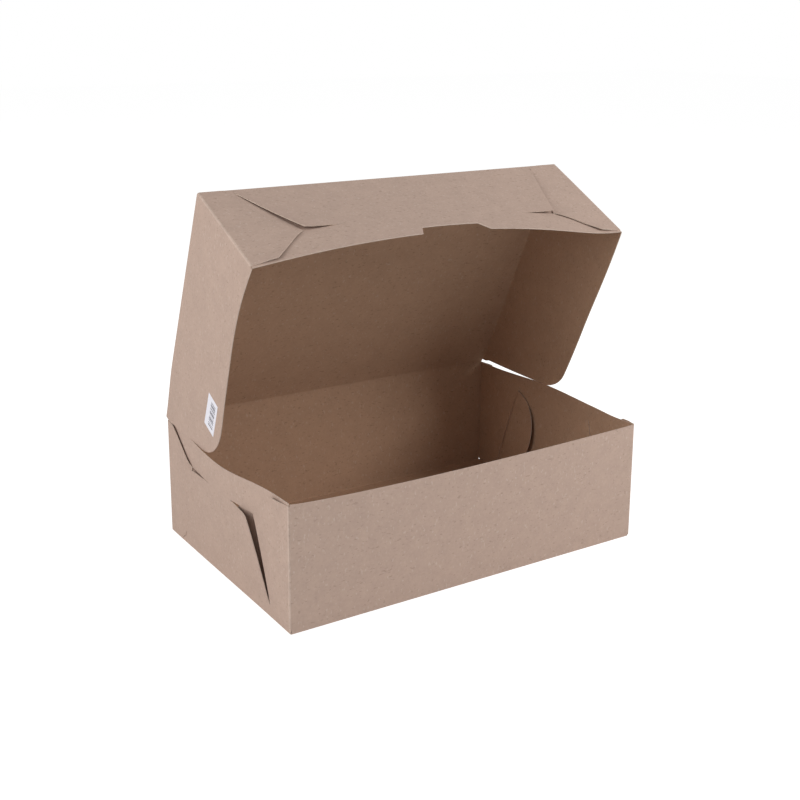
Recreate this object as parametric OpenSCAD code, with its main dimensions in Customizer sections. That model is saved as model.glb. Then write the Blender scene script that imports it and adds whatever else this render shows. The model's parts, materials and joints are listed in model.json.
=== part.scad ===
// Lidded carton, folded from one sheet of grey-brown kraft board.
// The tray is a base with four walls. Its front and back walls end in corner flaps, which turn
// round the corners and lie on the outside of the side walls. Each flap has a round ear that goes
// through a slanted cut in the side wall and hooks behind it. The lid is hinged on the crease along
// the top of the back wall, and its side panels hook into its front wall in the same way.
// X runs along the front wall, Y to the back and Z up. The origin is the middle of the base's underside.

/* [Tray] */
// Width across the outer faces of the side walls
tray_w = 317; // [250:1:420]
// Depth from the front wall's outer face to the back wall's
tray_d = 212; // [190:1:300]
// Height of the hinge crease above the underside of the base
tray_h = 100; // [92:1:140]
// How far the side walls' top edges stay below the front wall's
side_drop = 2.5; // [1:0.5:5]

/* [Board] */
// Thickness of the board
board_t = 0.6; // [0.4:0.1:0.9]

/* [Lid] */
// How far the lid is open, from closed; the photo's angle
open_angle = 65; // [0:1:180]
// Depth of the lid's walls, with the thickness of its top
lid_drop = 94.5; // [84:0.5:98]
// How far the middle of the lid's front wall bows out at its free edge
lid_bow = 17; // [4:0.5:22]
// Room between the tray's front wall and the closed lid's front wall
front_play = 3; // [2:0.1:5]
// Room at each side between the tray's side wall and the lid's side panel
side_play = 3; // [2.4:0.1:5]
// Room between the tray's top edges and the closed lid
rim_play = 0.3; // [0.2:0.1:1]
// Lean of the side panels' rear edges, from square to the top
rear_lean = 25.5; // [15:0.5:35]
// Radius of the side panels' lower rear corners
rear_round = 14; // [6:1:20]

/* [Corner locks] */
// Distance from the corner to the lower end of the cut
cut_foot_in = 30; // [26:1:36]
// Height of the cut's lower end above the crease
cut_foot_up = 8; // [5:1:12]
// Distance from the corner to the cut's tip, where the slit starts
cut_tip_in = 52; // [46:1:58]
// Distance from the corner to the end of the slit
slit_end_in = 86; // [76:1:92]
// How far the tip lies below the free edge of a tray wall
tray_tip_drop = 26; // [22:1:30]
// How far the tip lies from the free edge of the lid's front wall
lid_tip_drop = 32; // [24:1:36]
// How far the ear reaches past the tip, behind the uncut wall
ear_hook = 13; // [8:1:15]
// Stretch of the cut at its lower end that the ear leaves free
ear_foot = 5.5; // [3:0.5:8]
// Width of the slit and of the gap beside the ear's neck
cut_gap = 0.5; // [0.3:0.1:1]
// Length of a flap's edge along the main crease
flap_toe = 22; // [14:1:24]
// Length of a flap's edge level with the free edge of its wall
flap_shoulder = 15; // [10:1:20]
// Gap between a flap and the main crease
flap_lift = 1.5; // [1:0.5:3]

/* [Thumb notch] */
// Width of the notch at the free edge of the lid's front wall
notch_w = 60; // [40:1:70]
// Width of the notch at its inner end
notch_inner_w = 49; // [30:1:60]
// Depth of the notch
notch_depth = 10; // [6:0.5:14]

/* [Label] */
// Length of the label, along the lid
label_l = 30; // [20:1:40]
// Width of the label
label_w = 17; // [12:1:22]
// Thickness of the label
label_t = 0.1; // [0.1:0.05:0.2]
// Distance from the hinge to the middle of the label
label_from_hinge = 71; // [66:1:110]
// Distance from the side panel's free edge to the middle of the label
label_from_edge = 17.5; // [15:0.5:40]

/* [Hidden] */
$fn = 96;

// Height of the front and back walls
wall_h = tray_h - rim_play;
// Depth of the lid's walls below the inner face of its top
lid_wall = lid_drop - board_t;
// Distance between the inner faces of the lid's side panels
lid_in_w = tray_w + 2 * side_play;
lid_w = lid_in_w + 2 * board_t;
// Distance from the hinge axis to the inner face of the lid's front wall
lid_in_len = tray_d + front_play;
// Width of the slanted cut: the ear's neck and the gap beside it
neck_room = board_t + cut_gap;
// How far the neck ends short of the cut's tip
neck_short = 1;
// How far a cutting shape runs past the board
past = 1;
// Depth at which the lid's front wall starts to bow, and the number of strips that it is made of
bow_from = 2;
bow_strips = 6;

// A lock is drawn flat, with X away from the corner and Y from the main crease to the free edge.
function cut_foot() = [cut_foot_in, cut_foot_up];
function cut_tip(height, drop) = [cut_tip_in, height - drop];
function cut_len(height, drop) = norm(cut_tip(height, drop) - cut_foot());
function cut_dir(height, drop) = (cut_tip(height, drop) - cut_foot()) / cut_len(height, drop);
// Unit vector square to the cut, away from the corner
function cut_side(height, drop) = [cut_dir(height, drop)[1], -cut_dir(height, drop)[0]];
// Point at a distance along the cut's line and another one beside it
function cut_point(height, drop, along, beside) =
    cut_foot() + along * cut_dir(height, drop) + beside * cut_side(height, drop);
// The ear is a half disc whose straight side is the cut's line
function ear_r(height, drop) = (cut_len(height, drop) + ear_hook - ear_foot) / 2;
function ear_mid(height, drop) = ear_foot + ear_r(height, drop);

// Strip beside the cut's line, from one distance along it to another
module cut_strip(height, drop, from, to, near, far) {
    polygon([
        cut_point(height, drop, from, near),
        cut_point(height, drop, to, near),
        cut_point(height, drop, to, far),
        cut_point(height, drop, from, far)
    ]);
}

// Flap between the corner and the cut
module flap_outline(height, drop) {
    polygon([
        [0, flap_lift],
        [flap_toe, flap_lift],
        cut_foot(),
        cut_tip(height, drop),
        [flap_shoulder, height],
        [0, height]
    ]);
}

// Ear behind the wall
module ear_outline(height, drop) {
    reach = ear_r(height, drop) + past;
    mid = ear_mid(height, drop);
    intersection() {
        translate(cut_point(height, drop, mid, 0))
            circle(r = ear_r(height, drop));
        cut_strip(height, drop, mid - reach, mid + reach, 0, reach);
    }
}

// Opening in the wall: room for the ear's neck beside the slanted cut, then the slit along the wall
module wall_cut(height, drop) {
    tip = cut_tip(height, drop);
    dir = cut_dir(height, drop);
    slit_y = tip[1] - cut_gap;
    // Where the far side of the slanted cut meets the lower side of the slit
    join = (slit_y - cut_foot_up + neck_room * dir[0]) / dir[1];
    polygon([
        cut_foot(),
        tip,
        [slit_end_in, tip[1]],
        [slit_end_in, slit_y],
        cut_point(height, drop, join, neck_room),
        cut_point(height, drop, 0, neck_room)
    ]);
}

// Flap, neck and ear of one lock, with the wall's outer face at Z = 0 and its outer side up.
// The neck passes through the wall, and overlaps the flap and the ear by a board's thickness.
module lock(height, drop) {
    linear_extrude(board_t)
        flap_outline(height, drop);
    translate([0, 0, -2 * board_t])
        linear_extrude(3 * board_t)
            cut_strip(height, drop, ear_foot, cut_len(height, drop) - neck_short, -board_t, board_t);
    translate([0, 0, -2 * board_t])
        linear_extrude(board_t)
            ear_outline(height, drop);
}

// Turns a flat drawing into the right-hand side wall's plane, from its front corner
module on_side_wall() {
    translate([tray_w / 2, -tray_d / 2, 0])
        rotate([90, 0, 90])
            children();
}

// Side wall at the right, with the openings for its two locks
module side_wall() {
    on_side_wall()
        translate([0, 0, -board_t])
            linear_extrude(board_t)
                difference() {
                    square([tray_d, wall_h - side_drop]);
                    wall_cut(wall_h, tray_tip_drop);
                    translate([tray_d, 0])
                        mirror([1, 0])
                            wall_cut(wall_h, tray_tip_drop);
                }
}

module tray() {
    color("#a98f7e") {
        // Base
        translate([-tray_w / 2, -tray_d / 2, 0])
            cube([tray_w, tray_d, board_t]);
        // Front and back walls, wide enough to turn round the side walls
        for (y = [-tray_d / 2, tray_d / 2 - board_t])
            translate([-tray_w / 2 - board_t, y, 0])
                cube([tray_w + 2 * board_t, board_t, wall_h]);
        for (side = [0, 1])
            mirror([side, 0, 0]) {
                side_wall();
                for (end = [0, 1])
                    mirror([0, end, 0])
                        on_side_wall()
                            lock(wall_h, tray_tip_drop);
            }
    }
}

// The lid is drawn closed, with the hinge axis on X at the origin and its front towards -Y.
module opened() {
    translate([0, tray_d / 2, tray_h])
        rotate([-open_angle, 0, 0])
            children();
}

// Turns a flat drawing into the plane of the lid's front wall, from its left corner and its top down
module on_lid_front() {
    translate([-lid_w / 2, -lid_in_len - board_t, board_t])
        mirror([0, 0, 1])
            rotate([90, 0, 0])
                children();
}

// Side panel's outline: X from the hinge to the front, Y from the top's inner face down
module side_panel_outline() {
    // The panel ends inside the flap that turns round the corner
    front = lid_in_len + 1.5 * board_t;
    turn = rear_round * tan((90 - rear_lean) / 2);
    round_mid = [lid_wall * tan(rear_lean) + turn, lid_wall - rear_round];
    // The rear corner's arc touches the free edge and the leaning edge
    steps = 12;
    arc = [
        for (i = [0:steps])
            let (angle = 90 + (90 - rear_lean) * i / steps)
                round_mid + rear_round * [cos(angle), sin(angle)]
    ];
    polygon(concat([[0, 0], [front, 0], [front, lid_wall]], arc));
}

// Bow of the lid's front wall: a parabola from corner to corner, growing evenly with depth
function bow_at(across, depth) =
    lid_bow * (1 - pow(2 * across / lid_w - 1, 2)) * max(0, (depth - bow_from) / (lid_drop - bow_from));

// Numbers of a corner of the bowed sheet: layer 0 is its back, row 0 lies at the top
function sheet_point(layer, row, column) = (3 * layer + row) * (bow_strips + 1) + column;

// Two triangles of one strip, split so that the ridges run down from the corners to the free edge
function strip_faces(layer, i) =
    i < bow_strips / 2
        ? [
            [sheet_point(layer, 1, i), sheet_point(layer, 2, i), sheet_point(layer, 2, i + 1)],
            [sheet_point(layer, 1, i), sheet_point(layer, 2, i + 1), sheet_point(layer, 1, i + 1)]
        ]
        : [
            [sheet_point(layer, 1, i), sheet_point(layer, 2, i), sheet_point(layer, 1, i + 1)],
            [sheet_point(layer, 2, i), sheet_point(layer, 2, i + 1), sheet_point(layer, 1, i + 1)]
        ];

// The same face seen from its other side
function turned(face) = [for (i = [len(face) - 1:-1:0]) face[i]];

// Sheet that follows the bow, between two distances from the wall's outer face. It may run beyond the
// wall's ends and its free edge, so that an outline can be cut from it.
module bowed_sheet(back, front, beyond) {
    depths = [0, bow_from, lid_drop + beyond];
    strips = [0:bow_strips - 1];
    step = (lid_w + 2 * beyond) / bow_strips;
    points = [
        for (level = [back, front], depth = depths, i = [0:bow_strips])
            [i * step - beyond, depth, bow_at(i * step - beyond, depth) + level]
    ];
    front_faces = [
        for (i = strips)
            [sheet_point(1, 0, i), sheet_point(1, 1, i), sheet_point(1, 1, i + 1), sheet_point(1, 0, i + 1)],
        for (i = strips, face = strip_faces(1, i))
            face
    ];
    back_faces = [
        for (i = strips)
            [sheet_point(0, 0, i + 1), sheet_point(0, 1, i + 1), sheet_point(0, 1, i), sheet_point(0, 0, i)],
        for (i = strips, face = strip_faces(0, i))
            turned(face)
    ];
    long_edges = [
        for (i = strips)
            [sheet_point(0, 0, i), sheet_point(1, 0, i), sheet_point(1, 0, i + 1), sheet_point(0, 0, i + 1)],
        for (i = strips)
            [sheet_point(0, 2, i), sheet_point(0, 2, i + 1), sheet_point(1, 2, i + 1), sheet_point(1, 2, i)]
    ];
    last = bow_strips;
    ends = [
        for (row = [0, 1])
            [sheet_point(0, row, 0), sheet_point(0, row + 1, 0), sheet_point(1, row + 1, 0), sheet_point(1, row, 0)],
        for (row = [0, 1])
            [
                sheet_point(0, row, last),
                sheet_point(1, row, last),
                sheet_point(1, row + 1, last),
                sheet_point(0, row + 1, last)
            ]
    ];
    polyhedron(points, concat(front_faces, back_faces, long_edges, ends), convexity = 6);
}

// A drawing made thick enough to go through the bowed wall
module through_bow() {
    translate([0, 0, -2 * board_t - past])
        linear_extrude(lid_bow + 3 * board_t + 2 * past)
            children();
}

// Openings in the lid's front wall: two lock cuts and the thumb notch
module lid_front_openings() {
    for (end = [0, 1])
        translate([end * lid_w, 0])
            mirror([end, 0])
                wall_cut(lid_drop, lid_tip_drop);
    translate([lid_w / 2, lid_drop])
        polygon([
            [-notch_w / 2, past],
            [-notch_w / 2, 0],
            [-notch_inner_w / 2, -notch_depth],
            [notch_inner_w / 2, -notch_depth],
            [notch_w / 2, 0],
            [notch_w / 2, past]
        ]);
}

// One lock of the lid. The wall is a board thick, and flap, neck and ear each run half a board into it.
module bowed_lock() {
    intersection() {
        bowed_sheet(-board_t / 2, board_t, past);
        through_bow()
            flap_outline(lid_drop, lid_tip_drop);
    }
    intersection() {
        bowed_sheet(-1.5 * board_t, board_t / 2, past);
        through_bow()
            cut_strip(
                lid_drop,
                lid_tip_drop,
                ear_foot,
                cut_len(lid_drop, lid_tip_drop) - neck_short,
                -board_t,
                board_t
            );
    }
    intersection() {
        bowed_sheet(-2 * board_t, -board_t / 2, past);
        through_bow()
            ear_outline(lid_drop, lid_tip_drop);
    }
}

module lid() {
    color("#b7a08f")
        opened() {
            // Top
            translate([-lid_w / 2, -lid_in_len - board_t, 0])
                cube([lid_w, lid_in_len + board_t, board_t]);
            // Front wall
            on_lid_front()
                difference() {
                    bowed_sheet(-board_t, 0, 0);
                    through_bow()
                        lid_front_openings();
                }
            // Side panels and the locks at their front ends
            for (side = [0, 1])
                mirror([side, 0, 0]) {
                    translate([-lid_in_w / 2, 0, 0])
                        rotate([90, 0, -90])
                            mirror([0, 1, 0])
                                linear_extrude(board_t)
                                    side_panel_outline();
                    on_lid_front()
                        bowed_lock();
                }
        }
}

// Paper label on the outside of the lid's left side panel
module label() {
    color("#e6e3ea")
        opened()
            translate([
                -lid_w / 2 - label_t,
                -label_from_hinge - label_l / 2,
                -lid_wall + label_from_edge - label_w / 2
            ])
                cube([label_t, label_l, label_w]);
}

tray();
lid();
label();
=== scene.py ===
# %% [markdown]
# # A kraft board carton with its lid open
# The real object is one sheet of grey-brown kraft board, about 0.6 mm thick, cut, creased and folded by hand.
# It holds itself together. The tray's front and back walls end in flaps that turn round the corners, and a
# round ear on each flap goes through a slanted cut in the side wall and hooks behind it. The lid is the same
# sheet, folded over the top of the back wall, and its side panels hook into its front wall in the same way.
# Board is never quite flat: the long free edges bow outwards, the cut corners curl, and the folds are round.
# A plain box misses all of that, so each panel here is a surface worked out point by point.

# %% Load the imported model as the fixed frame
import json
from collections import namedtuple

import bmesh
import bpy
import numpy as np
from mathutils import Matrix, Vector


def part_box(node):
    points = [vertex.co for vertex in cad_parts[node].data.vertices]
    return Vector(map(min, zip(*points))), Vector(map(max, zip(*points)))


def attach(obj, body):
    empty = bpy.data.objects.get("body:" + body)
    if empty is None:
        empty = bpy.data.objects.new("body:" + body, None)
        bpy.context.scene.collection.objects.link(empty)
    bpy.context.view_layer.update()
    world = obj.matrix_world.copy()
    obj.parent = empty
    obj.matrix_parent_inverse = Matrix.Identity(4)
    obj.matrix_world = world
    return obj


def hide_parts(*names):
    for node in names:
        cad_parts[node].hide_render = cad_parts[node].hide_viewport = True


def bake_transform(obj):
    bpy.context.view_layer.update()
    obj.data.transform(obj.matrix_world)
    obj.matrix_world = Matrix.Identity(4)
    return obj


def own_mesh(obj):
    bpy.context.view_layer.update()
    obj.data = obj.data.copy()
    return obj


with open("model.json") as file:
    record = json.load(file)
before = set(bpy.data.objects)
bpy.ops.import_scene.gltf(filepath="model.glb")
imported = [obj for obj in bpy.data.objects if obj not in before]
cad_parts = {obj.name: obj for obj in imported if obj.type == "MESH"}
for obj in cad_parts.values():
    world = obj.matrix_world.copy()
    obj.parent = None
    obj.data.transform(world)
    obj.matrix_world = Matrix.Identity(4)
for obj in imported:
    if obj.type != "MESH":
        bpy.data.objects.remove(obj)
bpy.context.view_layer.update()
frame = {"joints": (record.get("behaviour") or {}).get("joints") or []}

# %% [markdown]
# ## Sizes
# The frame says where the carton is. The tray's box gives its width, depth and height, and the joint gives
# the hinge line. The joint's lower limit is the turn that closes the lid, so it also says how far the lid
# stands open. Everything below is in millimetres, and becomes metres only when a mesh is made.

# %% Sizes from the frame
MM = 0.001
BOARD = 0.6  # the board's thickness
FOLD = 1.2  # outer radius of a fold
tray_low, tray_high = (np.array(corner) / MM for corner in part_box("tray"))
hinge = frame["joints"][0]
HINGE_Y, HINGE_Z = np.array(hinge["pos_m"][1:]) / MM
OPEN = np.radians(-hinge["range_deg"][0])
HALF_W = tray_high[0] - BOARD  # to the outer faces of the side walls; the flaps lie outside them
HALF_D = tray_high[1]
DEPTH = 2 * HALF_D
WALL_H = tray_high[2]
PLAY = 3  # room between the tray's walls and the closed lid's
LID_HALF_W = HALF_W + PLAY + BOARD
LID_LEN = DEPTH + PLAY + BOARD
LID_DROP = 94.5  # depth of the lid's walls with the top's thickness
HINGE_ROOM = 2.5  # how far the crease reaches from the hinge line into the back wall and into the lid
print("tray", 2 * HALF_W, DEPTH, WALL_H, "hinge", HINGE_Y, HINGE_Z, "lid open", np.degrees(OPEN))

# %% [markdown]
# ## Camera
# The photograph was taken from the front left, a little above the tray's rim, from about 0.95 m. Its eye,
# directions and focal length were solved from the corners of the tray and the lid.

# %% Camera at the photograph's viewpoint
EYE = np.array([-496.8, -778.3, 419.6]) * MM
AZIMUTH, ELEVATION, ROLL = np.radians([-32.516, 18.105, 0.279])
FOCAL, PHOTO_SIDE = 1197.2, 800  # both in the photograph's pixels
SENSOR = 36
flat = np.cos(ELEVATION)
back = np.array([np.sin(AZIMUTH) * flat, -np.cos(AZIMUTH) * flat, np.sin(ELEVATION)])
level = np.cross([0, 0, 1], back)
level /= np.linalg.norm(level)
upright = np.cross(back, level)
right = np.cos(ROLL) * level + np.sin(ROLL) * upright
up = -np.sin(ROLL) * level + np.cos(ROLL) * upright
camera = bpy.data.objects.new("camera", bpy.data.cameras.new("camera"))
camera.data.sensor_width = SENSOR
camera.data.lens = FOCAL / PHOTO_SIDE * SENSOR
turn = Matrix(np.column_stack([right, up, back]).tolist()).to_4x4()
camera.matrix_world = Matrix.Translation(EYE.tolist()) @ turn
bpy.context.scene.collection.objects.link(camera)
bpy.context.scene.camera = camera
print("lens", round(camera.data.lens, 2), "mm")

# %% [markdown]
# ## Making a sheet
# A panel is a function of two numbers, one along each side of a grid. Where the grids of one piece share a
# border, their points are welded, and a cut stays open because its two sides are pushed apart. Solidify
# then gives the sheet its thickness, inwards from the outer face, with the pale cut edge on the rim. It is
# applied at once, so that the folds are shaded smoothly and the cut edges sharply.

# %% Helpers for sheets
WELD, SLIVER = 0.02, 0.01  # points closer than this are joined, and faces thinner than this are dropped
SHARP = np.radians(40)  # a steeper turn than this between two faces is shaded as an edge


def smooth(x):
    """A soft step from 0 to 1: three times x squared, less twice x cubed."""
    x = np.clip(x, 0, 1)
    return x * x * (3 - 2 * x)


def lattice(rows, columns):
    """Two grids of numbers from 0 to 1, the first growing from row to row and the second along each row."""
    return np.meshgrid(np.linspace(0, 1, rows), np.linspace(0, 1, columns), indexing="ij")


def facing(grid, outward):
    """The grid, turned over if the faces in its middle look against the outward direction."""
    i, j = grid.shape[0] // 2, grid.shape[1] // 2
    across = grid[i, j] - grid[i, j - 1]
    along = grid[i, j] - grid[i - 1, j]
    return grid if np.dot(np.cross(across, along), outward) > 0 else grid[:, ::-1]


def surface(name, grids):
    """A mesh with one face between each four neighbours of each grid, and the shared borders welded. Faces of
    a fold take the fourth material and all others the first."""
    points, faces, kinds, start = [], [], [], 0
    for grid, outward, *fold in grids:
        grid = facing(grid, outward)
        rows, columns = grid.shape[:2]
        index = start + np.arange(rows * columns).reshape(rows, columns)
        corners = [index[:-1, :-1], index[:-1, 1:], index[1:, 1:], index[1:, :-1]]
        faces.append(np.stack(corners, -1).reshape(-1, 4))
        points.append(grid.reshape(-1, 3) * MM)
        kinds.append(np.full(len(faces[-1]), 3 if fold else 0, np.int32))
        start += rows * columns
    mesh = bpy.data.meshes.new(name)
    mesh.from_pydata(np.concatenate(points), [], np.concatenate(faces).tolist())
    mesh.polygons.foreach_set("material_index", np.concatenate(kinds))
    welded = bmesh.new()
    welded.from_mesh(mesh)
    bmesh.ops.remove_doubles(welded, verts=welded.verts, dist=WELD * MM)
    bmesh.ops.dissolve_degenerate(welded, edges=welded.edges, dist=SLIVER * MM)
    welded.to_mesh(mesh)
    welded.free()
    return mesh


def sheet(name, grids, finish, body, thickness=BOARD):
    """A piece of board with its thickness added on the inner side. The grids are a list of (grid of points in
    mm, outward direction, and for a fold the word fold). The finishes are for the outside, the inside and
    the cut edge, then the same three for the folds."""
    mesh = surface(name, grids)
    for material in finish:
        mesh.materials.append(material)
    piece = bpy.data.objects.new(name, mesh)
    bpy.context.scene.collection.objects.link(piece)
    board = piece.modifiers.new("board", "SOLIDIFY")
    board.thickness = thickness * MM
    board.offset = -1
    board.use_even_offset = True
    board.material_offset = 1
    board.material_offset_rim = 2
    finished = piece.evaluated_get(bpy.context.evaluated_depsgraph_get())
    piece.data = bpy.data.meshes.new_from_object(finished)
    piece.modifiers.clear()
    piece.data.name = name
    piece.data.shade_smooth()
    piece.data.set_sharp_from_angle(angle=SHARP)
    if body:
        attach(piece, body)
    print(name, len(piece.data.polygons), "faces")
    return piece


# %% [markdown]
# ## Kraft board
# The board is solid recycled kraft: pressed, dried pulp with a dull, slightly warm grey-brown face. Up close
# it is never one colour. Short fibres, some dark and some pale, lie mostly along the sheet, and the pulp is
# cloudy on a scale of a few millimetres. The cut edges are paler, where the knife opened the fibres. Paper is
# rough at every scale, so it has no gloss to speak of: a high roughness and a weak reflection.
# The patterns read Object coordinates, in metres, and their scales come from sizes in millimetres. The four
# boards are one material with four sets of colours: the inside is darker and browner, a painted shade with
# painted light bounced off other board, the cut edges are paler than the faces, and the folds are paler
# too, a painted highlight along each fold.

# %% Material helpers
def linear(colour):
    """An sRGB hex colour as the linear values that Blender's sockets hold."""
    values = [int(colour[i : i + 2], 16) / 255 for i in (1, 3, 5)]
    return [v / 12.92 if v <= 0.04045 else ((v + 0.055) / 1.055) ** 2.4 for v in values] + [1]


def per_metre(size_mm):
    """The scale at which a texture's features are about this many millimetres apart."""
    return 1 / (size_mm * MM)


def add(tree, kind, settings=None, links=None):
    """Adds a node, sets its properties and its inputs' values, and links outputs into its inputs."""
    node = tree.nodes.new(kind)
    for key, value in (settings or {}).items():
        if isinstance(key, str) and key in node.bl_rna.properties:
            setattr(node, key, value)
        else:
            node.inputs[key].default_value = value
    for key, output in (links or {}).items():
        tree.links.new(output, node.inputs[key])
    return node


def fibres(tree, ground, vector, size_mm, colour, strength):
    """Flecks of one colour on the ground: they show where a noise of that size comes near its top."""
    noise = add(tree, "ShaderNodeTexNoise", {"Scale": per_metre(size_mm), "Detail": 1.0}, {"Vector": vector})
    near_top = {"From Min": 0.64, "From Max": 0.74, "To Max": strength}
    share = add(tree, "ShaderNodeMapRange", near_top, {"Value": noise.outputs[0]}).outputs[0]
    mix = {"data_type": "RGBA", 7: linear(colour)}
    return add(tree, "ShaderNodeMix", mix, {0: share, 6: ground}).outputs[2]


def kraft_board(name, colour, pale, dark, clouds, flecks):
    """Solid kraft board: cloudy pulp, dark and pale fibres, and a faint relief. clouds is how far the pulp's
    brightness strays either way, and flecks how strongly the fibres show."""
    material = bpy.data.materials.new(name)
    material.use_nodes = True
    tree = material.node_tree
    tree.nodes.clear()
    place = add(tree, "ShaderNodeTexCoord").outputs["Object"]
    # Pulp: clouds of about 12 mm, and finer ones of about 2.5 mm on them
    wide = add(tree, "ShaderNodeTexNoise", {"Scale": per_metre(12), "Detail": 3.0}, {"Vector": place})
    fine = add(tree, "ShaderNodeTexNoise", {"Scale": per_metre(2.5), "Detail": 2.0}, {"Vector": place})
    both = {0: wide.outputs[0], 1: fine.outputs[0]}
    pulp = add(tree, "ShaderNodeMath", {"operation": "ADD"}, both).outputs[0]
    cloudy = {"From Min": 0.7, "From Max": 1.3, "To Min": 1 - clouds, "To Max": 1 + clouds}
    shade = add(tree, "ShaderNodeMapRange", cloudy, {"Value": pulp}).outputs[0]
    scaled = {"operation": "SCALE", 0: linear(colour)[:3]}
    ground = add(tree, "ShaderNodeVectorMath", scaled, {"Scale": shade}).outputs[0]
    # Fibres are a few hundredths of a millimetre thick; here they are about 1 mm, so that they show. The dark
    # ones lie along the sheet, and the pale ones come from another place in the noise, so they lie apart.
    long_way = add(tree, "ShaderNodeMapping", {"Scale": (0.45, 1, 1)}, {"Vector": place}).outputs[0]
    moved = {"Location": (0.3, 0.2, 0.5), "Scale": (1, 1, 0.5)}
    apart = add(tree, "ShaderNodeMapping", moved, {"Vector": place}).outputs[0]
    face = fibres(tree, ground, long_way, 1.5, dark, flecks)
    face = fibres(tree, face, apart, 1.7, pale, flecks)
    low = {"Strength": 0.3, "Distance": 0.06 * MM}
    relief = add(tree, "ShaderNodeBump", low, {"Height": pulp}).outputs[0]
    dull = {"Roughness": 0.88, "Specular IOR Level": 0.25}
    shader = add(tree, "ShaderNodeBsdfPrincipled", dull, {"Base Color": face, "Normal": relief})
    add(tree, "ShaderNodeOutputMaterial", {}, {"Surface": shader.outputs[0]})
    return material


# %% The board's outside, inside, cut edge and folds
outside = kraft_board("kraft_board_outside", "#b9a193", "#d0c0b5", "#8a7566", 0.05, 0.4)
# The inside is darker and browner than the outside: painted shade and painted light bounced off other board.
inside = kraft_board("kraft_board_inside_painted_shade", "#b4937a", "#c6af9b", "#7a614e", 0.05, 0.4)
cut_edge = kraft_board("kraft_board_cut_edge", "#c8b6a8", "#dccdbf", "#a08b79", 0.08, 0.3)
# The folds' paler colour is a painted highlight along each rounded fold.
fold = kraft_board("kraft_board_fold_painted_highlight", "#c5afa1", "#d8cabf", "#98806f", 0.08, 0.4)
KRAFT = [outside, inside, cut_edge, fold, inside, cut_edge]
print("board finishes", [material.name for material in KRAFT[:4]])

# %% [markdown]
# ## How the walls bow
# A wall is held straight along its creases and is free along its other edge, so it bows most near the middle
# of the free edge and not at all at the crease. Each bow is a distance outwards, in mm, that grows with the
# distance from the crease. The amounts were worked out from the edges in the photograph and the camera.
# On the closed lid's inside there are only 3 mm of room, and the real board gives way under the lid where a
# tray wall bows further than that.

# %% Bow of the tray's walls, outwards
# For the left wall (-1) and the right wall (1). Places along a wall are shares of its length from the front.
SIDE_BOW = {-1: 6, 1: 5.8}  # how far the free edge bows out
SIDE_CROWN = {-1: (0.48, 0.38, 0.5), 1: (0.57, 0.41, 0.33)}  # where it bows most, and its reach both ways
SIDE_LEAN = {-1: (1.2, 0.2), 1: (1.0, 0.3)}  # how far the front end leans in, and over what share
SIDE_DENT, DENT_AT = {-1: 0, 1: 1.6}, (0.1, 0.1, 0.14)  # how far the wall is drawn in beside its front lock
LEFT_FLARE, RIGHT_FLARE = 1.6, 1.0  # how much wider the carton is at its base
EDGE_DIP = 3.2  # how far the left wall's free edge dips
FRONT_BOW, FRONT_SKEW = 5.6, 0.65  # the front wall's bow, and the power that puts its crown off the middle
TRAY_BEND = 1.2  # the power of the height that a bow grows with


def hump(share, crown, near, far):
    """A squared cosine with its top at crown, that reaches 0 at near before it and at far after it."""
    width = np.where(share < crown, near, far)
    return np.cos(np.pi / 2 * np.clip((share - crown) / width, -1, 1)) ** 2


def tray_side_bow(side, y, h):
    """Side wall: a hump, less the lean at the front end and the dent, growing with a power of the height, and
    a flare at the base that is gone at the top. The left wall's flare starts at the front end."""
    share = np.clip((y + HALF_D) / DEPTH, 0, 1)
    lean, length = SIDE_LEAN[side]
    crown = SIDE_BOW[side] * hump(share, *SIDE_CROWN[side]) - lean * (1 - smooth(share / length))
    crown = crown - SIDE_DENT[side] * hump(share, *DENT_AT)
    flare = LEFT_FLARE * smooth(share) if side < 0 else RIGHT_FLARE
    rise = np.clip(h / WALL_H, 0, 1)
    return crown * rise**TRAY_BEND + flare * (1 - rise)


def tray_side_edge(side, y):
    """Height of a side wall's free edge: the left wall's dips where it bows out most."""
    share = np.clip((y + HALF_D) / DEPTH, 0, 1)
    return WALL_H - (EDGE_DIP * hump(share, *SIDE_CROWN[side]) if side < 0 else 0 * share)


def tray_front_bow(x, h):
    """Front wall: half a sine wave of a power of the share, growing with a power of the height."""
    share = np.clip((x + HALF_W) / (2 * HALF_W), 0, 1)
    return FRONT_BOW * np.sin(np.pi * share**FRONT_SKEW) * np.clip(h / WALL_H, 0, 1) ** TRAY_BEND


print("tray's walls bow by", SIDE_BOW[-1], FRONT_BOW, SIDE_BOW[1], "mm")

# %% Bow of the lid's walls, outwards
LID_NECK, NECK_LEN = 1.8, 60  # how much narrower the lid is at the hinge on each side, and over what length
LID_BOW, LID_DROOP = 16, 8  # the front wall's bow, and how much less of it there is towards the right end
DROOP_BEND, FRONT_BEND = 1.6, 1.3  # the powers that the droop and the whole bow grow with
LID_LEAN = 2.6  # how far the lid's lower right corner may lean in
LEAN_SOFT = 12  # how softly the lean comes to its limit
LID_PINCH = 0.9  # how much narrower the lid is there
LID_SAG = 5.0  # how much deeper the walls reach there
PANEL_BOW = {-1: (4.2, 2.6), 1: (7, 0.75)}  # each side panel's bow, and the power that places its crown
PANEL_BEND = 1.2


def lid_half_w(u):
    """Half the lid's width: at the hinge it is the tray's with a little room, and past the neck, full."""
    return LID_HALF_W - LID_NECK * (1 - smooth(u / NECK_LEN))


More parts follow.
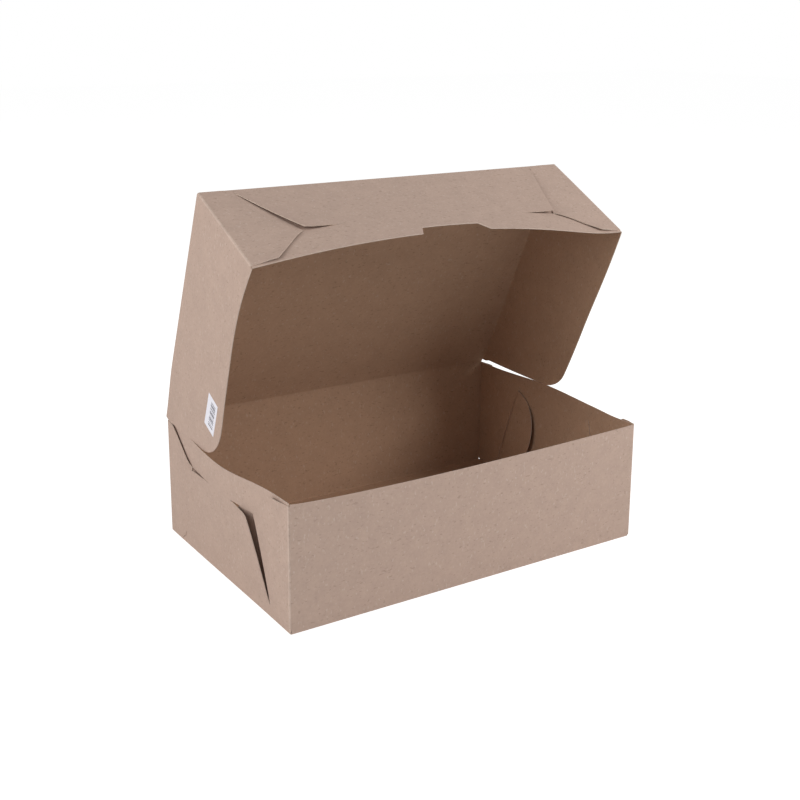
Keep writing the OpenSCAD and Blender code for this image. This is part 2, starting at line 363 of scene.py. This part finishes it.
def lid_front_bow(x, h):
    """Lid's front wall: a parabola across the wall, less a droop that grows towards the right end. It stops
    softly where it leans in as far as it may: half the sum of a number and its softened size. All of it grows
    with a power of the depth."""
    across = np.clip(x / LID_HALF_W, -1, 1)
    net = LID_BOW * (1 - across**2) - LID_DROOP * ((1 + across) / 2) ** DROOP_BEND + LID_LEAN
    net = (net + np.sqrt(net**2 + LEAN_SOFT)) / 2 - LID_LEAN
    return net * np.clip(h / LID_DROP, 0, 1) ** FRONT_BEND


def lid_pinch(across, h):
    """How far the front wall's right end moves in; across is 1 at that end and 0 at the middle."""
    return LID_PINCH * smooth(across * 2 - 1) * np.clip(h / LID_DROP, 0, 1) ** PANEL_BEND


def lid_side_bow(side, u, h):
    """Lid's side panel: half a sine wave of a power of the share along it, with its crown near the front at
    the left and near the rear at the right, less the pinch at the right front corner."""
    share = np.clip(u / LID_LEN, 0, 1)
    bow, skew = PANEL_BOW[side]
    crown = bow * np.sin(np.pi * share**skew)
    if side > 0:
        crown = crown - LID_PINCH * smooth(share * 3 - 2)
    return crown * np.clip(h / LID_DROP, 0, 1) ** PANEL_BEND


def lid_sag(across, h):
    """Extra depth near the lid's lower right corner; across is 1 at that corner and 0 at half a wall away."""
    return LID_SAG * smooth(across) * np.clip(h / LID_DROP, 0, 1) ** 2


print("lid's walls bow by", PANEL_BOW[-1][0], LID_BOW, PANEL_BOW[1][0], "mm")

# %% [markdown]
# ## Putting a wall in place
# Each wall is drawn flat first: a is the distance from a corner, h the distance from the wall's crease, and
# out the distance in front of its outer face. These functions put such points where they belong.

# %% From a wall's flat drawing to the carton
def stack(x, y, z):
    """Arrays, or single numbers, of x, y and z as one grid of points."""
    return np.stack(np.broadcast_arrays(x, y, z), -1).astype(float)


def opened(x, u, d):
    """A point of the opened lid, u from the hinge towards the front and d below the top's inner face."""
    y = HINGE_Y - u * np.cos(OPEN) - d * np.sin(OPEN)
    z = HINGE_Z + u * np.sin(OPEN) - d * np.cos(OPEN)
    return stack(x, y, z)


def on_tray_side(side, end):
    """Side wall, from its front corner (end -1) or its rear corner (end 1)."""

    def place(a, h, out):
        y = end * (HALF_D - a)
        return stack(side * (HALF_W + out + tray_side_bow(side, y, h)), y, h)

    return place


def on_lid_front(side):
    """The lid's front wall, from its left corner (side -1) or its right one (side 1)."""

    def place(a, h, out):
        x = side * (LID_HALF_W - a)
        across = x / LID_HALF_W
        forward = LID_LEN + out + lid_front_bow(x, h)
        return opened(x - lid_pinch(across, h), forward, h - BOARD + lid_sag(across, h))

    return place


def quarter_fold(v):
    """A quarter-round fold, v from 0 to 1: how far it has gone over, and how far it has turned down."""
    turn = v * np.pi / 2
    return FOLD * np.sin(turn), FOLD * (1 - np.cos(turn))


LID_FORWARD = opened(0, 1, 0) - opened(0, 0, 0)
LID_DOWN = opened(0, 0, 1) - opened(0, 0, 0)
print("the lid's front looks towards", LID_FORWARD.round(3))

# %% [markdown]
# ## A corner lock
# The cut runs up and away from the corner, from its foot to its tip, and goes on as a slit along the wall.
# The board between the cut and the slit, the tongue, springs out a little and draws back at its tip. The flap
# comes round the corner, lies on the wall, and dives through the cut. Behind the tongue it ends in a
# half-round ear, which can't slip back. It is the play of these layers, a board's thickness apart, that makes
# the real corners look the way they do, so the wall, the tongue, the flap and the ear are each shaped here.
# No two of the six locks are alike, because each was pushed together by hand: the tray's front left tongue
# stands out most, and the lid's cuts start almost at its fold.

# %% The lock's lines, and how each one sits
TIP_IN, SLIT_IN = 52.0, 88.0  # the cut's tip and the slit's end, from the corner
HINGE_IN = 64.0  # at the foot's height, the line about which the tongue swings; it ends at the slit's end
EAR_FOOT, EAR_HOOK = 5.5, 13.0  # where the ear starts after the cut's foot, and how far it goes past the tip
REST = BOARD + 0.05  # one layer and a hair's breadth
TOE_BACK, TOE_UP = 8.0, 1.5  # the flap's lower corner, before the cut's foot and above the fold
WALL_START = 0.7  # a wall ends just inside the board that turns round its corner
TRAY_FOOT, TRAY_TIP_H = np.array([30.0, 8.0]), WALL_H - 26
LID_FOOT, LID_TIP_H = {-1: np.array([25.0, 2.2]), 1: np.array([28.5, 4.5])}, {-1: 64.0, 1: 69.0}

# In each list, the front lock comes first and then the rear one.
# foot and tip_h: the cut's foot, from the corner and the fold, and its tip's height. spring: how far the
# tongue springs out. gap: how far it draws back. deep and curl: how deep the ear dives, and how far its edge
# curls. shoulder: where the flap's top edge ends. stand and lip: how far the flap's edge beyond the tip and
# its top edge stand off. lower: how much lower than the wall the flap is.
Lock = namedtuple("Lock", "foot tip_h spring gap deep curl shoulder stand lip lower")
TRAY_CUT = (TRAY_FOOT, TRAY_TIP_H)
LEFT_LOCKS = [
    Lock(*TRAY_CUT, spring=4.4, gap=3.2, deep=5, curl=1.2, shoulder=21, stand=0.3, lip=1.8, lower=1.8),
    Lock(*TRAY_CUT, spring=1.8, gap=1.6, deep=3, curl=1.5, shoulder=15, stand=1.3, lip=0.2, lower=1.5),
]
RIGHT_LOCKS = [
    Lock(*TRAY_CUT, spring=0.4, gap=0.4, deep=1.5, curl=4, shoulder=15, stand=0.4, lip=1.8, lower=0),
    Lock(*TRAY_CUT, spring=0.4, gap=0.4, deep=1.5, curl=5, shoulder=15, stand=0.3, lip=1.0, lower=0),
]
LID_SEAT = {"deep": 0.65, "curl": 0.2, "shoulder": 20, "stand": 0.8, "lip": 0.8, "lower": 2}
LID_LOCKS = {
    -1: Lock(LID_FOOT[-1], LID_TIP_H[-1], spring=2.4, gap=1.3, **LID_SEAT),
    1: Lock(LID_FOOT[1], LID_TIP_H[1], spring=2.0, gap=0.8, **LID_SEAT),
}
print("locks", len(LEFT_LOCKS) + len(RIGHT_LOCKS) + len(LID_LOCKS))


def cut_at(h, lock):
    """Distance of the cut from the corner at a height: straight from the foot to the tip."""
    return np.interp(h, [lock.foot[1], lock.tip_h], [lock.foot[0], TIP_IN])


def dive(a, h, lock):
    """Share of a board's thickness by which flap and wall sink at the cut: a soft step over the last third of
    the way to the cut, which fades towards the slit's end. It is gone at the foot and 10 mm past the tip."""
    line = cut_at(h, lock)
    across = np.where(a <= line, smooth(a / line * 3 - 2), 1 - smooth((a - line) / (SLIT_IN - TIP_IN)))
    return across * smooth((h - lock.foot[1]) / 6) * (1 - smooth((h - lock.tip_h) / 10))


# %% The wall with its cut
TONGUE_EDGE = 8  # the tongue lies on the flap for this far from the cut


def columns(knots):
    """Twelve even steps between each two knots."""
    steps = [np.linspace(low, high, 13) for low, high in zip(knots[:-1], knots[1:])]
    return np.unique(np.concatenate(steps))


def tongue(place, far_foot, far_tip, rise, lock):
    """The part beyond the cut. It swings out about the line from HINGE_IN to the slit's end, in proportion to
    the rise and to a power of how free it is: 1 at the cut and 0 at that line. It draws back from the cut in
    the same way, and drops a little at its tip, which opens the slit."""
    h = lock.foot[1] + rise * (lock.tip_h - lock.foot[1])
    a = far_foot + rise * (far_tip - far_foot)
    cut = cut_at(h, lock)
    free = np.clip(1 - (a - cut) / (HINGE_IN + rise * (SLIT_IN - HINGE_IN) - cut), 0, 1)
    layer = BOARD * smooth(rise * 7) * (1 - smooth((a - cut) / TONGUE_EDGE))
    drawn = lock.gap * rise**0.6 * free**1.6
    lowered = (0.15 + 0.4 * lock.gap) * rise**10 * free**0.6
    return place(a + drawn, h - lowered, layer + lock.spring * rise * free**1.2)


def locked_wall(place, edge, stops, lock):
    """Half a wall with its cut, from its corner to its middle: the part between the corner and the cut, the
    tongue, a band below the cut and a band above. edge gives the free edge's height at a distance from the
    corner, and stops are the columns after the slit's end."""
    foot, tip_h = lock.foot, lock.tip_h
    near_foot, near_tip = np.linspace(WALL_START, foot[0], 15), np.linspace(WALL_START, TIP_IN, 15)
    far_foot, far_tip = columns([foot[0], HINGE_IN, *stops]), columns([TIP_IN, SLIT_IN, *stops])
    rise = np.linspace(0, 1, 25)[:, None]
    h = foot[1] + rise * (tip_h - foot[1])
    a = near_foot + rise * (near_tip - near_foot)
    corner_part = place(a, h + 0 * a, -REST * dive(a, h, lock))
    share = np.linspace(0, 1, 4)[:, None]
    a = np.concatenate([near_foot, far_foot[1:]]) + 0 * share
    below = place(a, FOLD + share * (foot[1] - FOLD) + 0 * a, 0 * a)
    share = np.linspace(0, 1, 14)[:, None]
    a = np.concatenate([near_tip, far_tip[1:]]) + 0 * share
    level = tip_h + share * (edge(a) - tip_h)
    above = place(a, level, -REST * dive(a, level, lock))
    return [corner_part, tongue(place, far_foot, far_tip, rise, lock), below, above]


# %% The flap that comes round the corner
def flap(place, height, lock):
    """The flap and the round fold at the corner: rows from the fold to the outline's far side, which goes
    from the toe to the cut's foot, up the cut, and back to the shoulder. It lies one board above the wall and
    sinks with it at the cut. Its edge past the tip stands off, and so does its top edge, by soft steps."""
    foot = lock.foot
    knots = np.array([[foot[0] - TOE_BACK, TOE_UP], foot, [TIP_IN, lock.tip_h], [lock.shoulder, height]])
    counts = (5, 26, 18)
    runs = [np.linspace(knots[i], knots[i + 1], counts[i], endpoint=False) for i in range(3)]
    far = np.concatenate(runs + [knots[3:]])
    near_h = np.linspace(TOE_UP, height, len(far))
    past_tip = np.clip((np.arange(len(far)) - counts[0] - counts[1]) / counts[2], 0, 1)
    bend = np.linspace(np.pi / 2, 0, 7)[:, None]
    round_a = FOLD * (1 - np.sin(bend)) + 0 * near_h
    round_out = BOARD - FOLD * (1 - np.cos(bend)) + 0 * near_h
    across = np.linspace(0, 1, 26)[:, None]
    a = FOLD + across * (far[:, 0] - FOLD)
    h = near_h + across * (far[:, 1] - near_h)
    side_edge = smooth(across * 1.6 - 0.6) * smooth(past_tip * 9)
    top_edge = smooth(past_tip * 2.5 - 1.5) * smooth(across * 1.5)
    out = BOARD - BOARD * dive(a, h, lock) + lock.stand * side_edge + lock.lip * top_edge
    return place(round_a, 0 * bend + near_h, round_out), place(a, h, out)


# %% The ear behind the wall
EAR_DIVE = 3  # the ear goes through the cut within this distance
EAR_ENDS = 0.03  # share of the half disc's turn that is left off at either end, where its rows would meet


def ear(place, lock):
    """The ear: a half disc on the cut's line. Beside the cut it turns down to the given depth, comes back up
    between 4 and 18 mm on to lie one board behind the wall, and its round edge stands off by a curl that
    grows with the square of the distance. Past the tip it is hooked behind the wall, beside the line too."""
    run = np.array([TIP_IN, lock.tip_h]) - lock.foot
    length = np.linalg.norm(run)
    run /= length
    side = np.array([run[1], -run[0]])
    radius = (length + EAR_HOOK - EAR_FOOT) / 2
    angle, reach = lattice(33, 25)
    angle, reach = EAR_ENDS + (1 - 2 * EAR_ENDS) * angle, reach**1.5
    along = EAR_FOOT + radius * (1 - np.cos(np.pi * angle))
    beside = radius * reach * np.sin(np.pi * angle)
    a = lock.foot[0] + along * run[0] + beside * side[0]
    h = lock.foot[1] + along * run[1] + beside * side[1]
    through = smooth(beside / EAR_DIVE)
    hooked = smooth((along - length + 6) / 6)
    deeper = (lock.deep - REST) * through * (1 - smooth((beside - 4) / 14)) * smooth(along / length * 2)
    behind = (REST + 0.05) * np.maximum(through, hooked) + REST * dive(a, h, lock) * hooked
    return place(a, h, -behind - deeper - lock.curl * (beside / radius) ** 2)


def corner(place, edge, stops, height, lock, outward):
    """Half a wall with everything that its lock holds, as grids for a sheet."""
    fold_round, face = flap(place, height, lock)
    grids = [(grid, outward) for grid in locked_wall(place, edge, stops, lock)]
    return grids + [(fold_round, outward, "fold"), (face, outward), (ear(place, lock), outward)]


# %% [markdown]
# ## The tray
# The base lies flat on the floor and turns up into four walls. The back wall goes on over the hinge into the
# lid. The base and the back wall are one piece here; the front wall and the side walls are their own pieces.

# %% Base and back wall
def tray_base_grids():
    """A flat base, four quarter-round folds along its sides, and the back wall up to just under the hinge."""
    half_x, half_y = HALF_W - FOLD, HALF_D - FOLD

    def across(w, y, h, over=0):
        left = -(half_x + over + tray_side_bow(-1, y, h))
        return left + w * (half_x + over + tray_side_bow(1, y, h) - left)

    v, w = lattice(30, 44)
    y = (2 * v - 1) * half_y
    grids = [(stack(across(w, y, 0), y, 0), (0, 0, -1))]
    v, w = lattice(7, 44)
    over, rise = quarter_fold(v)
    for end in (-1, 1):
        grids.append((stack(across(w, end * HALF_D, 0), end * (half_y + over), rise), (0, end, -1), "fold"))
    v, w = lattice(7, 30)
    over, rise = quarter_fold(v)
    for side in (-1, 1):
        y = (2 * w - 1) * half_y
        x = side * (half_x + over + tray_side_bow(side, y, 0))
        grids.append((stack(x, y, rise), (side, 0, -1), "fold"))
    v, w = lattice(20, 44)
    h = FOLD + v * (HINGE_Z - HINGE_ROOM - FOLD)
    grids.append((stack(across(w, HALF_D, h, smooth(v * 20) * BOARD), HALF_D, h), (0, 1, 0)))
    return grids


tray_base = sheet("tray_base", tray_base_grids(), KRAFT, "tray")
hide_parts("tray")

# %% Front wall
FRONT_H = WALL_H - 0.4  # a little lower than the closed lid's inner face
FRONT_DIP = 1  # how much lower the free edge is in the middle, as the square root of a half sine wave
v, w = lattice(28, 70)
h = FOLD + v * (FRONT_H - FRONT_DIP * np.sin(np.pi * w) ** 0.5 - FOLD)
half = HALF_W + BOARD * smooth(v * 20) - FOLD
left_end, right_end = -(half + tray_side_bow(-1, -HALF_D, h)), half + tray_side_bow(1, -HALF_D, h)
x = left_end + w * (right_end - left_end)
front_grid = stack(x, -HALF_D - tray_front_bow(x, h), h)
tray_front = sheet("tray_front", [(front_grid, (0, -1, 0))], KRAFT, "tray")
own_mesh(tray_front)

# %% Side walls with their cuts, flaps and ears
def tray_side(name, side, locks):
    """One side wall: two halves, each with its lock, from the front corner and from the rear one."""
    grids = []
    for end, lock in zip((-1, 1), locks):

        def edge(a):
            return tray_side_edge(side, end * (HALF_D - a))

        grids += corner(on_tray_side(side, end), edge, [HALF_D], WALL_H - lock.lower, lock, (side, 0, 0))
    return sheet(name, grids, KRAFT, "tray")


tray_side_left = tray_side("tray_side_left", -1, LEFT_LOCKS)
tray_side_right = tray_side("tray_side_right", 1, RIGHT_LOCKS)
for side, wall in ((-1, tray_side_left), (1, tray_side_right)):
    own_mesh(wall)

# %% [markdown]
# ## The lid
# The lid's top is one sheet with the front wall and the side panels. The side panels end in flaps that turn
# round the front corners and lie on the front wall, whose slanted cuts take their ears. The panels' lower
# rear corners are cut round. The front wall has a notch for the thumb in its free edge and bows out most.

# %% The lid's side panels
REAR_LEAN = {-1: np.radians(23), 1: np.radians(21.8)}  # how far each panel's rear edge leans to the front
REAR_START, REAR_ROUND = {-1: 0, 1: 4}, {-1: 48, 1: 25}  # where it starts, and its lower corner's radius


def side_panel(side):
    """A side panel: rows from the fold to the free edge, each from the rear edge, which leans and then turns
    round a quarter of a circle or so, to the fold at the front corner."""
    wall = LID_DROP - BOARD
    lean, radius, begin = REAR_LEAN[side], REAR_ROUND[side], REAR_START[side]
    turn = radius * np.tan((np.pi / 2 - lean) / 2)
    middle = np.array([begin + wall * np.tan(lean) + turn, wall - radius])
    angle = np.linspace(np.pi - lean, np.pi / 2, 14)
    arc_d, arc_u = middle[1] + radius * np.sin(angle), middle[0] + radius * np.cos(angle)
    lean_d = np.linspace(FOLD - BOARD, arc_d[0], 20, endpoint=False)
    d = np.concatenate([lean_d, arc_d])[:, None]
    lean_u = begin * smooth(lean_d / 8) + lean_d * np.tan(lean)
    rear = np.concatenate([np.maximum(lean_u, HINGE_ROOM), arc_u])[:, None]
    h = d + BOARD
    front = LID_LEN + BOARD - FOLD + lid_front_bow(side * LID_HALF_W, h)
    u = rear + np.linspace(0, 1, 60) * (front - rear)
    sag = lid_sag(side * (u / LID_LEN * 2 - 1), h)
    x = side * (lid_half_w(u) + lid_side_bow(side, u, h))
    return opened(x, u, d + sag), (side, 0, 0)


# %% The lid's top, folds and front wall
NOTCH_HALF, NOTCH_INNER_HALF, NOTCH_DEPTH = 30, 24.5, 10


def notched_edge(a):
    """Height of the front wall's free edge at a distance from the corner: straight, then into the notch."""
    stops = LID_HALF_W - np.array([NOTCH_HALF, NOTCH_INNER_HALF])
    return LID_DROP - np.interp(a, stops, [0, NOTCH_DEPTH])


def lid_grids():
    """The top, its folds, the front wall with its cuts and notch, and the side panels with flaps and ears."""
    v, w = lattice(60, 44)
    u = HINGE_ROOM + v * (LID_LEN - FOLD - HINGE_ROOM)
    grids = [(opened((2 * w - 1) * (lid_half_w(u) - FOLD), u, -BOARD + 0 * v), -LID_DOWN)]
    v, w = lattice(7, 44)
    over, fall = quarter_fold(v)
    front_fold = opened((2 * w - 1) * (LID_HALF_W - FOLD), LID_LEN - FOLD + over, fall - BOARD)
    grids.append((front_fold, LID_FORWARD - LID_DOWN, "fold"))
    v, w = lattice(7, 60)
    over, fall = quarter_fold(v)
    u = HINGE_ROOM + w * (LID_LEN - FOLD - HINGE_ROOM)
    stops = [LID_HALF_W - NOTCH_HALF, LID_HALF_W - NOTCH_INNER_HALF, LID_HALF_W]
    for side, lock in LID_LOCKS.items():
        side_fold = opened(side * (lid_half_w(u) - FOLD + over), u, fall - BOARD)
        grids.append((side_fold, np.array([side, 0, 0]) - LID_DOWN, "fold"))
        grids.append(side_panel(side))
        place, height = on_lid_front(side), LID_DROP - lock.lower
        grids += corner(place, notched_edge, stops, height, lock, LID_FORWARD)
    return grids


lid_shell = sheet("lid_shell", lid_grids(), KRAFT, "lid")
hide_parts("lid")

# %% [markdown]
# ## The hinge
# The lid turns on a crease along the top of the back wall, where the fibres are crushed but whole. A narrow
# strip that belongs half to the tray and half to the lid bends between them, drawn here for the open lid.

# %% Hinge crease
CREASE_PULL = 4  # how strongly the curve holds to the back wall's and the lid's directions at its ends
v, w = lattice(13, 44)
start, end = np.array([HINGE_Y, HINGE_Z - HINGE_ROOM]), opened(0, HINGE_ROOM, -BOARD)[1:]
leave, arrive = np.array([0, 1]) * CREASE_PULL, LID_FORWARD[1:] * CREASE_PULL
# A Hermite curve from the back wall's top to the lid's top: two cubics weigh its ends and two its directions
path = (
    (2 * v**3 - 3 * v**2 + 1)[..., None] * start
    + (v**3 - 2 * v**2 + v)[..., None] * leave
    + (3 * v**2 - 2 * v**3)[..., None] * end
    + (v**3 - v**2)[..., None] * arrive
)
half = HALF_W + BOARD - FOLD + smooth(v) * (lid_half_w(HINGE_ROOM) - HALF_W - BOARD)
strip = stack((2 * w - 1) * half, path[..., 0], path[..., 1])
crease = sheet("hinge_crease", [(strip, (0, 1, 0.2))], KRAFT, None)
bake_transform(crease)

# %% [markdown]
# ## The label
# A small white paper label sits near the free edge of the lid's left side panel. Its print is left generic:
# a few plain bars that say nothing. The paper follows the panel's bow, so it is a sheet of the same surface.

# %% Label paper
LABEL_L, LABEL_W, LABEL_T = 30.0, 17.0, 0.1
LABEL_U, LABEL_D = 71.0, LID_DROP - BOARD - 17.5  # its middle, from the hinge and below the top's inner face
PRINT_HALF_L, PRINT_HALF_W, PRINT_LOW = 11.0, 4.0, 1.5  # the print's half sizes, and how far it sits below
BAR_SCALE, BAR_LEVEL = 0.9, 0.52  # how close the bars are, per mm, and how high the noise is where one shows


def label_paper():
    """White label paper with a smooth coat, and dull dark bars across it from a one-way noise: a bar shows
    where the noise along the label is high, inside a margin."""
    material = bpy.data.materials.new("label_paper_with_bars")
    material.use_nodes = True
    tree = material.node_tree
    tree.nodes.clear()

    def maths(operation, settings, links):
        return add(tree, "ShaderNodeMath", {"operation": operation, **settings}, links).outputs[0]

    def measured(way):
        """Distance from the label's middle in that direction, in mm."""
        settings = {"operation": "DOT_PRODUCT", 1: (way / MM).tolist()}
        return add(tree, "ShaderNodeVectorMath", settings, {0: moved}).outputs["Value"]

    place = add(tree, "ShaderNodeTexCoord").outputs["Object"]
    centre = {"operation": "SUBTRACT", 1: (opened(-LID_HALF_W, LABEL_U, LABEL_D) * MM).tolist()}
    moved = add(tree, "ShaderNodeVectorMath", centre, {0: place}).outputs[0]
    along, across = measured(LID_FORWARD), measured(LID_DOWN)
    one_way = {"noise_dimensions": "1D", "Scale": BAR_SCALE, "Detail": 0.0}
    bars = add(tree, "ShaderNodeTexNoise", one_way, {"W": along}).outputs[0]
    dark = maths("GREATER_THAN", {1: BAR_LEVEL}, {0: bars})
    long_way = maths("ABSOLUTE", {}, {0: along})
    short_way = maths("ABSOLUTE", {}, {0: maths("SUBTRACT", {1: PRINT_LOW}, {0: across})})
    inside_long = maths("LESS_THAN", {1: PRINT_HALF_L}, {0: long_way})
    inside_short = maths("LESS_THAN", {1: PRINT_HALF_W}, {0: short_way})
    window = maths("MULTIPLY", {}, {0: inside_long, 1: inside_short})
    share = maths("MULTIPLY", {}, {0: window, 1: dark})
    inks = {"data_type": "RGBA", 6: linear("#eae8ef"), 7: linear("#4a4650")}
    face = add(tree, "ShaderNodeMix", inks, {0: share}).outputs[2]
    coat = {"Roughness": 0.5, "Specular IOR Level": 0.4}
    shader = add(tree, "ShaderNodeBsdfPrincipled", coat, {"Base Color": face})
    add(tree, "ShaderNodeOutputMaterial", {}, {"Surface": shader.outputs[0]})
    return material


paper = label_paper()
v, w = lattice(12, 20)
u, d = LABEL_U + (w - 0.5) * LABEL_L, LABEL_D + (v - 0.5) * LABEL_W
face = opened(-(lid_half_w(u) + LABEL_T + lid_side_bow(-1, u, d + BOARD)), u, d)
label = sheet("label_sheet", [(face, (-1, 0, 0))], [paper, paper, paper], "lid", LABEL_T)
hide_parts("label")

# %% [markdown]
# ## Studio
# The picture was taken on white. The floor is pale. There are two soft lights, a large one at the left, and a
# smaller and weaker one at the front right. The world fills in from all sides, at a level where the board's
# colour comes out about as it is written. To the camera the world is plain white, and so it is to a
# reflection, but it lights the carton with only about a third of that.

# %% Floor
FLOOR_SIDE, FLOOR_LOW = 12000, 0.05  # the floor's side, and how far it is below the base


def floor_material():
    """A pale matt floor. To the camera it glows at four fifths of white and adds the light that falls on it,
    so it is white in the open and keeps a soft shadow under the carton. To all other rays it is plain pale."""
    material = bpy.data.materials.new("pale_floor")
    material.use_nodes = True
    tree = material.node_tree
    tree.nodes.clear()
    pale = add(tree, "ShaderNodeBsdfDiffuse", {"Color": linear("#f0f0f0")}).outputs[0]
    faint = add(tree, "ShaderNodeBsdfDiffuse", {"Color": (0.55, 0.55, 0.55, 1)}).outputs[0]
    glow = add(tree, "ShaderNodeEmission", {"Color": (1, 1, 1, 1), "Strength": 0.8}).outputs[0]
    shown = add(tree, "ShaderNodeAddShader", {}, {0: faint, 1: glow}).outputs[0]
    seen = add(tree, "ShaderNodeLightPath").outputs["Is Camera Ray"]
    either = add(tree, "ShaderNodeMixShader", {}, {0: seen, 1: pale, 2: shown}).outputs[0]
    add(tree, "ShaderNodeOutputMaterial", {}, {"Surface": either})
    return material


v, w = lattice(2, 2)
mesh = bpy.data.meshes.new("floor")
corners = stack((w - 0.5) * FLOOR_SIDE, (v - 0.5) * FLOOR_SIDE, 0 * v - FLOOR_LOW).reshape(-1, 3) * MM
mesh.from_pydata(corners, [], [[0, 1, 3, 2]])
mesh.materials.append(floor_material())
floor = bpy.data.objects.new("floor", mesh)
bpy.context.scene.collection.objects.link(floor)

# %% Lights
AIM = np.array([0, 0, 0.12])  # what the lights are turned to, near the carton's middle, in metres


def softbox(name, at, size, power):
    """A square area light of the given side in metres, turned to the carton's middle."""
    light = bpy.data.lights.new(name, "AREA")
    light.size = size
    light.energy = power
    lamp = bpy.data.objects.new(name, light)
    lamp.location = at
    away = np.array(at) - AIM
    away /= np.linalg.norm(away)
    sideways = np.cross([0, 0, 1], away)
    sideways /= np.linalg.norm(sideways)
    axes = np.column_stack([sideways, np.cross(away, sideways), away])
    lamp.rotation_euler = Matrix(axes.tolist()).to_euler()
    bpy.context.scene.collection.objects.link(lamp)
    print(name, power, "W")


softbox("softbox_left", (-2.0, -0.14, 1.0), 1.4, 26)
softbox("softbox_right", (0.85, -0.85, 0.75), 0.6, 9.6)

# %% World and view
FILL = 0.35  # the world's strength for the light that it sends onto things
world = bpy.data.worlds.new("studio")
world.use_nodes = True
tree = world.node_tree
tree.nodes.clear()
ray = add(tree, "ShaderNodeLightPath").outputs
straight = {0: ray["Is Camera Ray"], 1: ray["Is Glossy Ray"]}
straight = add(tree, "ShaderNodeMath", {"operation": "MAXIMUM"}, straight).outputs[0]
plain = {0: straight, 1: ray["Is Transmission Ray"]}
plain = add(tree, "ShaderNodeMath", {"operation": "MAXIMUM"}, plain).outputs[0]
level = add(tree, "ShaderNodeMapRange", {"To Min": FILL, "To Max": 1.0}, {"Value": plain}).outputs[0]
sky = add(tree, "ShaderNodeBackground", {"Color": (1, 1, 1, 1)}, {"Strength": level}).outputs[0]
add(tree, "ShaderNodeOutputWorld", {}, {"Surface": sky})
bpy.context.scene.world = world
bpy.context.scene.view_settings.view_transform = "Standard"
print("world lights with", FILL, "of white")
